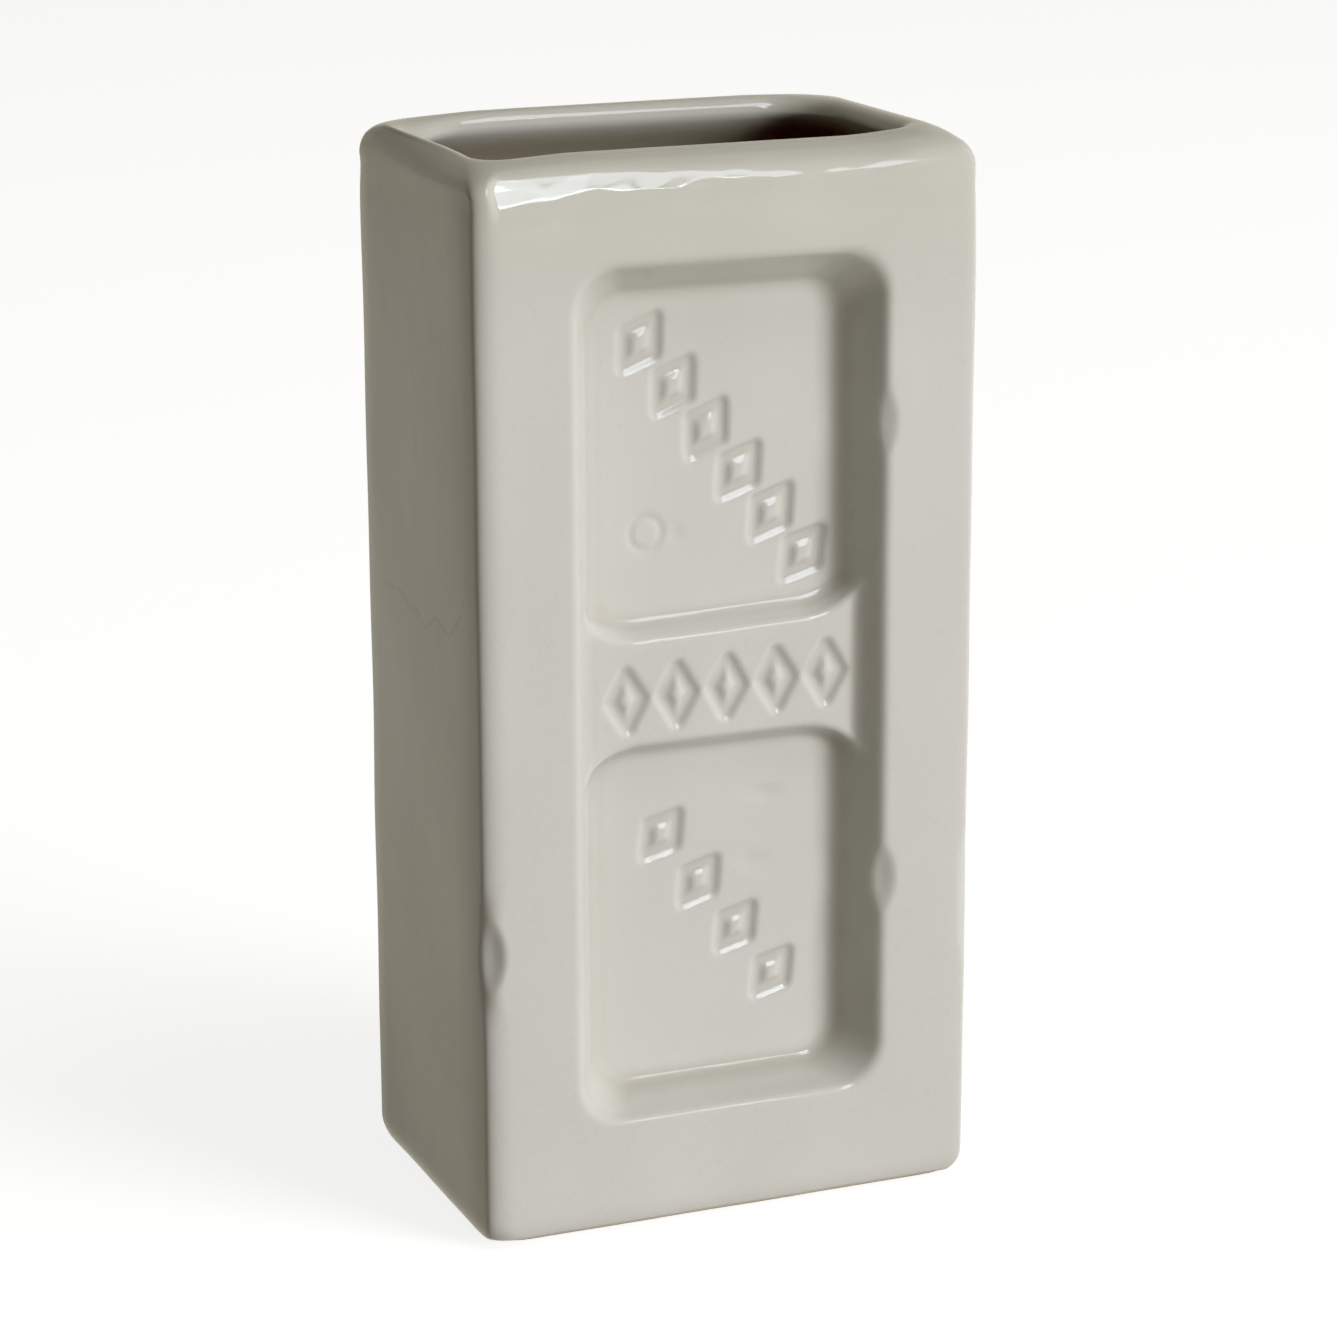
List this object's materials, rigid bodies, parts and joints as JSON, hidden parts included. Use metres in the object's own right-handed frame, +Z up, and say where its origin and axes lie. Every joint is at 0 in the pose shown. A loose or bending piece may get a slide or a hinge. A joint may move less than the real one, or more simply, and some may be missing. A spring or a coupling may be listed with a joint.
{
  "type": "brick-shaped flower vase",
  "caption": "Hollow rectangular pottery vase shaped like an old pressed brick stood on end, with a barred sunk panel on the front and an open mouth on top.",
  "frame": {"origin": "middle of the foot, on the surface the vase stands on", "axes": "+Z up through the mouth, -Y out of the front face with the sunk panel, +X to the right seen from the front"},
  "size_m": [0.1042, 0.068, 0.215],
  "materials": {
    "clay": "bare fired clay, matt",
    "glaze": "clear glossy glaze over pale warm grey"
  },
  "bodies": {
    "root": {"clay_body": "clay", "glaze_coat": "glaze"}
  },
  "joints": []
}
